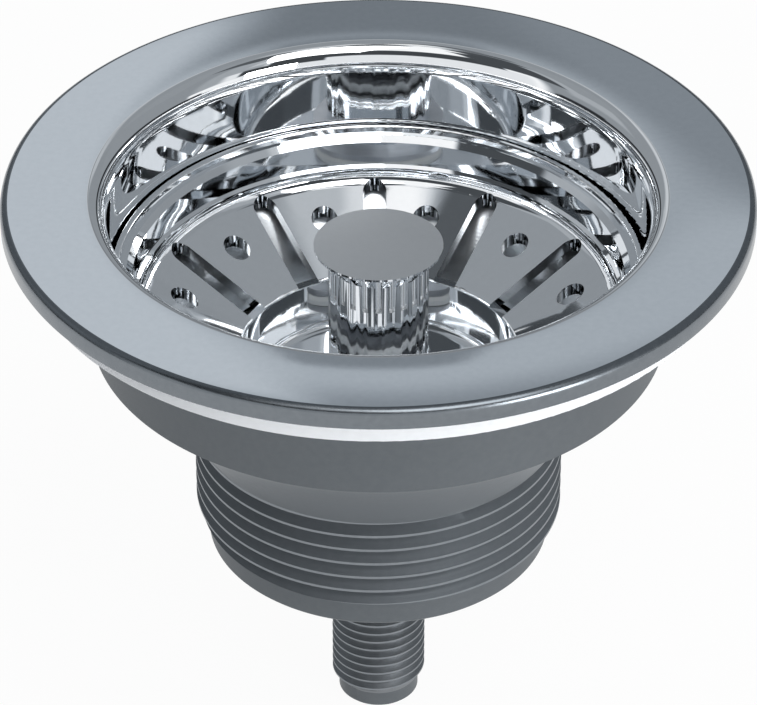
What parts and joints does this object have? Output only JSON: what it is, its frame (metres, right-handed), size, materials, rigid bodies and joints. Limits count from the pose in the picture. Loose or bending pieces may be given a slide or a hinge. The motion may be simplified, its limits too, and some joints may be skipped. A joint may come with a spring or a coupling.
{
  "type": "basket strainer waste",
  "caption": "Round sink waste: wide flange, cup and threaded outlet in one casting, with a slotted basket that a fluted knob on a long threaded spindle screws down onto its seal.",
  "frame": {"origin": "on the drain axis, in the plane of the sink deck that the gasket rests on", "axes": "+Z along the drain axis, up out of the sink; the first slot of the basket lies about +Y"},
  "size_m": [0.114, 0.114, 0.0955],
  "materials": {
    "body_metal": "polished, bluish grey, bright inside the cup and satin below the flange",
    "spider_metal": "cast and plated, satin",
    "basket_metal": "mirror polished",
    "knob_metal": "polished, with fine turned rings on top",
    "spindle_steel": "satin, rolled thread",
    "washer_steel": "plain",
    "retainer_steel": "plain",
    "bush_brass": "turned",
    "white_foam": "matt closed-cell foam",
    "seal_rubber": "matt black",
    "bush_plastic": "moulded, off-white"
  },
  "bodies": {
    "fixed_waste": {"waste_body": "body_metal", "flange_gasket": "white_foam", "outlet_spider": "spider_metal", "threaded_bush": "bush_brass"},
    "basket_unit": {"strainer_basket": "basket_metal", "drain_seal": "seal_rubber", "seal_retainer": "retainer_steel", "hub_bush": "bush_plastic"},
    "spindle_unit": {"knob": "knob_metal", "spindle": "spindle_steel", "upper_washer": "washer_steel", "lower_washer": "washer_steel"}
  },
  "joints": [
    {"name": "basket_lift", "type": "slide", "parent": "fixed_waste", "child": "basket_unit", "axis": [0, 0, 1], "range_m": [0, 0.008]},
    {"name": "knob_turn", "type": "hinge", "parent": "basket_unit", "child": "spindle_unit", "pos_m": [0, 0, 0], "axis": [0, 0, 1], "range_deg": [0, 1800]}
  ],
  "couplings": [
    {"joint": "knob_turn", "follows": "basket_lift", "rad_per_m": 3927}
  ]
}
